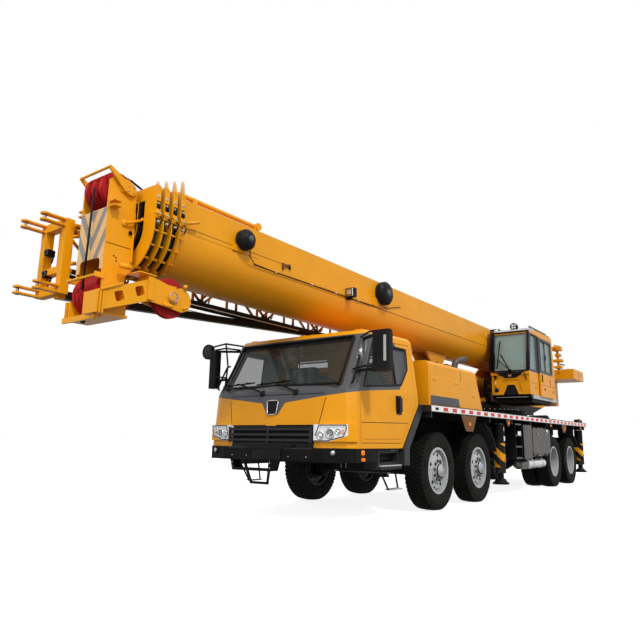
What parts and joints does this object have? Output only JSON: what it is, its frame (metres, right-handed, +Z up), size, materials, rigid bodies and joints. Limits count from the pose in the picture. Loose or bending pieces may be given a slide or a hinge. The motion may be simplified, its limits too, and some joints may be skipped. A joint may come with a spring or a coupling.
{
  "type": "truck crane",
  "caption": "Mobile crane: telescoping boom with luffing cylinder on a slewing turntable, on a wheeled carrier with driver's cab, steered axles and sliding outriggers.",
  "frame": {"origin": "on the ground under the middle of the overall length and width", "axes": "+X forward, +Y to the machine's left, +Z up"},
  "size_m": [13.6499, 3.1998, 3.4708],
  "materials": {
    "yellow_paint": "semi-gloss crane yellow",
    "dark_paint": "satin charcoal",
    "engine_iron": "cast",
    "tyre": "matt",
    "rim_silver": "silver paint",
    "red_paint": "red enamel",
    "glass": "clear, faintly tinted",
    "trim_plastic": "matt",
    "lamp": "clear lens",
    "rope_drum": "wire rope",
    "chrome_rod": "hard chrome"
  },
  "bodies": {
    "carrier": {"chassis_frame": "dark_paint", "axles": "dark_paint", "engine": "engine_iron", "deck": "yellow_paint", "driver_cab": "yellow_paint", "cab_glass": "glass", "cab_interior": "trim_plastic", "front_bumper": "dark_paint", "head_lamps": "lamp", "mirrors": "dark_paint", "fenders": "dark_paint", "tanks": "dark_paint", "spare_tyre": "tyre"},
    "knuckle_1_left": {"knuckle_1_left": "dark_paint"},
    "wheel_1_left": {"tyre_1_left": "tyre", "wheel_1_left": "rim_silver"},
    "knuckle_1_right": {"knuckle_1_right": "dark_paint"},
    "wheel_1_right": {"tyre_1_right": "tyre", "wheel_1_right": "rim_silver"},
    "knuckle_2_left": {"knuckle_2_left": "dark_paint"},
    "wheel_2_left": {"tyre_2_left": "tyre", "wheel_2_left": "rim_silver"},
    "knuckle_2_right": {"knuckle_2_right": "dark_paint"},
    "wheel_2_right": {"tyre_2_right": "tyre", "wheel_2_right": "rim_silver"},
    "wheels_3_left": {"tyres_3_left": "tyre", "wheels_3_left": "rim_silver"},
    "wheels_3_right": {"tyres_3_right": "tyre", "wheels_3_right": "rim_silver"},
    "wheels_4_left": {"tyres_4_left": "tyre", "wheels_4_left": "rim_silver"},
    "wheels_4_right": {"tyres_4_right": "tyre", "wheels_4_right": "rim_silver"},
    "driver_door_left": {"driver_door_left": "yellow_paint"},
    "driver_door_right": {"driver_door_right": "yellow_paint"},
    "outrigger_front_left": {"outrigger_front_left": "yellow_paint"},
    "jack_front_left": {"jack_front_left": "chrome_rod"},
    "outrigger_front_right": {"outrigger_front_right": "yellow_paint"},
    "jack_front_right": {"jack_front_right": "chrome_rod"},
    "outrigger_rear_left": {"outrigger_rear_left": "yellow_paint"},
    "jack_rear_left": {"jack_rear_left": "chrome_rod"},
    "outrigger_rear_right": {"outrigger_rear_right": "yellow_paint"},
    "jack_rear_right": {"jack_rear_right": "chrome_rod"},
    "superstructure": {"turntable": "yellow_paint", "winches": "rope_drum", "counterweight": "yellow_paint", "operator_cab": "yellow_paint", "operator_glass": "glass", "operator_seat": "trim_plastic"},
    "operator_door": {"operator_door": "yellow_paint"},
    "boom_base": {"boom_base": "yellow_paint", "boom_fittings": "trim_plastic", "fly_jib": "yellow_paint"},
    "luff_barrel": {"luff_barrel": "yellow_paint"},
    "luff_rod": {"luff_rod": "chrome_rod"},
    "boom_section_2": {"boom_section_2": "yellow_paint"},
    "boom_section_3": {"boom_section_3": "yellow_paint"},
    "boom_section_4": {"boom_section_4": "yellow_paint"},
    "boom_head": {"boom_head": "yellow_paint", "head_sheaves": "red_paint"}
  },
  "joints": [
    {"name": "steer_1_left", "type": "hinge", "parent": "carrier", "child": "knuckle_1_left", "pos_m": [1.775, 0.85, 0.54], "axis": [0, 0, 1], "range_deg": [-34, 34]},
    {"name": "spin_1_left", "type": "hinge", "parent": "knuckle_1_left", "child": "wheel_1_left", "pos_m": [1.775, 1.06, 0.54], "axis": [0, 1, 0], "continuous": true},
    {"name": "steer_1_right", "type": "hinge", "parent": "carrier", "child": "knuckle_1_right", "pos_m": [1.775, -0.85, 0.54], "axis": [0, 0, 1], "range_deg": [-34, 34]},
    {"name": "spin_1_right", "type": "hinge", "parent": "knuckle_1_right", "child": "wheel_1_right", "pos_m": [1.775, -1.06, 0.54], "axis": [0, 1, 0], "continuous": true},
    {"name": "steer_2_left", "type": "hinge", "parent": "carrier", "child": "knuckle_2_left", "pos_m": [0.305, 0.85, 0.54], "axis": [0, 0, 1], "range_deg": [-27.06, 27.06]},
    {"name": "spin_2_left", "type": "hinge", "parent": "knuckle_2_left", "child": "wheel_2_left", "pos_m": [0.305, 1.06, 0.54], "axis": [0, 1, 0], "continuous": true},
    {"name": "steer_2_right", "type": "hinge", "parent": "carrier", "child": "knuckle_2_right", "pos_m": [0.305, -0.85, 0.54], "axis": [0, 0, 1], "range_deg": [-27.06, 27.06]},
    {"name": "spin_2_right", "type": "hinge", "parent": "knuckle_2_right", "child": "wheel_2_right", "pos_m": [0.305, -1.06, 0.54], "axis": [0, 1, 0], "continuous": true},
    {"name": "spin_3_left", "type": "hinge", "parent": "carrier", "child": "wheels_3_left", "pos_m": [-4.03, 0.895, 0.54], "axis": [0, 1, 0], "continuous": true},
    {"name": "spin_3_right", "type": "hinge", "parent": "carrier", "child": "wheels_3_right", "pos_m": [-4.03, -0.895, 0.54], "axis": [0, 1, 0], "continuous": true},
    {"name": "spin_4_left", "type": "hinge", "parent": "carrier", "child": "wheels_4_left", "pos_m": [-5.38, 0.895, 0.54], "axis": [0, 1, 0], "continuous": true},
    {"name": "spin_4_right", "type": "hinge", "parent": "carrier", "child": "wheels_4_right", "pos_m": [-5.38, -0.895, 0.54], "axis": [0, 1, 0], "continuous": true},
    {"name": "door_left", "type": "hinge", "parent": "carrier", "child": "driver_door_left", "pos_m": [3.77, 1.185, 1.4], "axis": [0, 0, 1], "range_deg": [-65, 0]},
    {"name": "door_right", "type": "hinge", "parent": "carrier", "child": "driver_door_right", "pos_m": [3.77, -1.185, 1.4], "axis": [0, 0, 1], "range_deg": [0, 65]},
    {"name": "outrigger_front_left_slide", "type": "slide", "parent": "carrier", "child": "outrigger_front_left", "axis": [0, 1, 0], "range_m": [0, 2.1]},
    {"name": "jack_front_left_slide", "type": "slide", "parent": "outrigger_front_left", "child": "jack_front_left", "axis": [0, 0, -1], "range_m": [0, 0.6]},
    {"name": "outrigger_front_right_slide", "type": "slide", "parent": "carrier", "child": "outrigger_front_right", "axis": [0, -1, 0], "range_m": [0, 2.1]},
    {"name": "jack_front_right_slide", "type": "slide", "parent": "outrigger_front_right", "child": "jack_front_right", "axis": [0, 0, -1], "range_m": [0, 0.6]},
    {"name": "outrigger_rear_left_slide", "type": "slide", "parent": "carrier", "child": "outrigger_rear_left", "axis": [0, 1, 0], "range_m": [0, 2.1]},
    {"name": "jack_rear_left_slide", "type": "slide", "parent": "outrigger_rear_left", "child": "jack_rear_left", "axis": [0, 0, -1], "range_m": [0, 0.6]},
    {"name": "outrigger_rear_right_slide", "type": "slide", "parent": "carrier", "child": "outrigger_rear_right", "axis": [0, -1, 0], "range_m": [0, 2.1]},
    {"name": "jack_rear_right_slide", "type": "slide", "parent": "outrigger_rear_right", "child": "jack_rear_right", "axis": [0, 0, -1], "range_m": [0, 0.6]},
    {"name": "slew", "type": "hinge", "parent": "carrier", "child": "superstructure", "pos_m": [-3.625, 0, 1.5], "axis": [0, 0, 1], "continuous": true},
    {"name": "operator_door_slide", "type": "slide", "parent": "superstructure", "child": "operator_door", "axis": [-1, 0, 0], "range_m": [0, 0.62]},
    {"name": "luff", "type": "hinge", "parent": "superstructure", "child": "boom_base", "pos_m": [-5.125, 0, 2.95], "axis": [0, -1, 0], "range_deg": [0, 80]},
    {"name": "luff_barrel_pivot", "type": "hinge", "parent": "superstructure", "child": "luff_barrel", "pos_m": [-3.725, 0, 2.15], "axis": [0, -1, 0], "range_deg": [-0.5, 87.02]},
    {"name": "luff_rod_slide", "type": "slide", "parent": "luff_barrel", "child": "luff_rod", "axis": [0.9983, 0, 0.0575], "range_m": [-0.005, 2.0222]},
    {"name": "telescope_2", "type": "slide", "parent": "boom_base", "child": "boom_section_2", "axis": [1, 0, 0], "range_m": [0, 7.9]},
    {"name": "telescope_3", "type": "slide", "parent": "boom_section_2", "child": "boom_section_3", "axis": [1, 0, 0], "range_m": [0, 7.9]},
    {"name": "telescope_4", "type": "slide", "parent": "boom_section_3", "child": "boom_section_4", "axis": [1, 0, 0], "range_m": [0, 7.9]},
    {"name": "telescope_5", "type": "slide", "parent": "boom_section_4", "child": "boom_head", "axis": [1, 0, 0], "range_m": [0, 7.9]}
  ],
  "couplings": [
    {"joint": "steer_1_right", "follows": "steer_1_left", "ratio": 1},
    {"joint": "steer_2_left", "follows": "steer_1_left", "ratio": 0.79},
    {"joint": "steer_2_right", "follows": "steer_1_left", "ratio": 0.79},
    {"joint": "luff_barrel_pivot", "follows": "luff", "ratio": 1.0815},
    {"joint": "luff_rod_slide", "follows": "luff", "m_per_rad": 1.4447},
    {"joint": "telescope_4", "follows": "telescope_3", "ratio": 1},
    {"joint": "telescope_5", "follows": "telescope_3", "ratio": 1}
  ]
}
